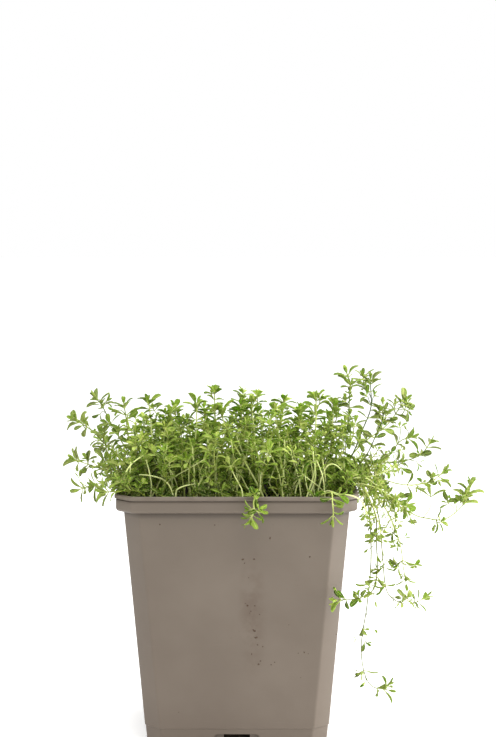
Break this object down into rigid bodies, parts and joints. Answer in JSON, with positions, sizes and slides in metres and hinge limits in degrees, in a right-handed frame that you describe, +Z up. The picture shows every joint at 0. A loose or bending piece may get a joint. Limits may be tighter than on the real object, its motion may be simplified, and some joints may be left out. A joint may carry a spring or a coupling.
{
  "type": "potted thyme plant",
  "caption": "Young thyme in a square tapered nursery pot: thin leafy stems stand in dark compost, lean over the rim and trail down one side.",
  "frame": {"origin": "centre of the pot's base, on the surface that it stands on", "axes": "+Z up, +X to the right where the stems trail, -Y towards the viewer of the pot's front"},
  "size_m": [0.2014, 0.1397, 0.1768],
  "materials": {
    "pot": "smooth taupe plastic with a dull sheen",
    "compost": "dark, crumbly and damp",
    "thyme": "matte green leaves on paler stems"
  },
  "bodies": {
    "root": {"compost": "compost", "pot": "pot", "sprig_back_left": "thyme", "sprig_back_right": "thyme", "sprig_front_mid": "thyme", "sprig_front_right": "thyme", "sprig_left_corner": "thyme", "sprig_left_high": "thyme", "sprig_left_inner": "thyme", "sprig_left_low": "thyme", "sprig_left_reach": "thyme", "sprig_left_side": "thyme", "sprig_left_top": "thyme", "sprig_mid_a": "thyme", "sprig_mid_b": "thyme", "sprig_mid_c": "thyme", "sprig_mid_d": "thyme", "sprig_mid_e": "thyme", "sprig_mid_f": "thyme", "sprig_mid_g": "thyme", "sprig_mid_h": "thyme", "sprig_mid_i": "thyme", "sprig_mid_j": "thyme", "sprig_mid_k": "thyme", "sprig_mid_l": "thyme", "sprig_right_back": "thyme", "sprig_right_front": "thyme", "sprig_right_mid": "thyme", "sprig_right_tall": "thyme", "sprig_right_tallest": "thyme", "sprig_spread_a": "thyme", "sprig_spread_b": "thyme", "sprig_spread_c": "thyme", "sprig_spread_d": "thyme", "sprig_spread_e": "thyme", "sprig_trail_curl": "thyme", "sprig_trail_front": "thyme", "sprig_trail_long": "thyme", "sprig_trail_mid": "thyme", "sprig_tuft_01": "thyme", "sprig_tuft_02": "thyme", "sprig_tuft_03": "thyme", "sprig_tuft_04": "thyme", "sprig_tuft_05": "thyme", "sprig_tuft_06": "thyme", "sprig_tuft_07": "thyme", "sprig_tuft_08": "thyme", "sprig_tuft_09": "thyme", "sprig_tuft_10": "thyme", "sprig_tuft_11": "thyme", "sprig_tuft_12": "thyme", "sprig_tuft_13": "thyme", "sprig_tuft_14": "thyme", "sprig_tuft_15": "thyme", "sprig_tuft_16": "thyme", "sprig_tuft_17": "thyme"}
  },
  "joints": []
}
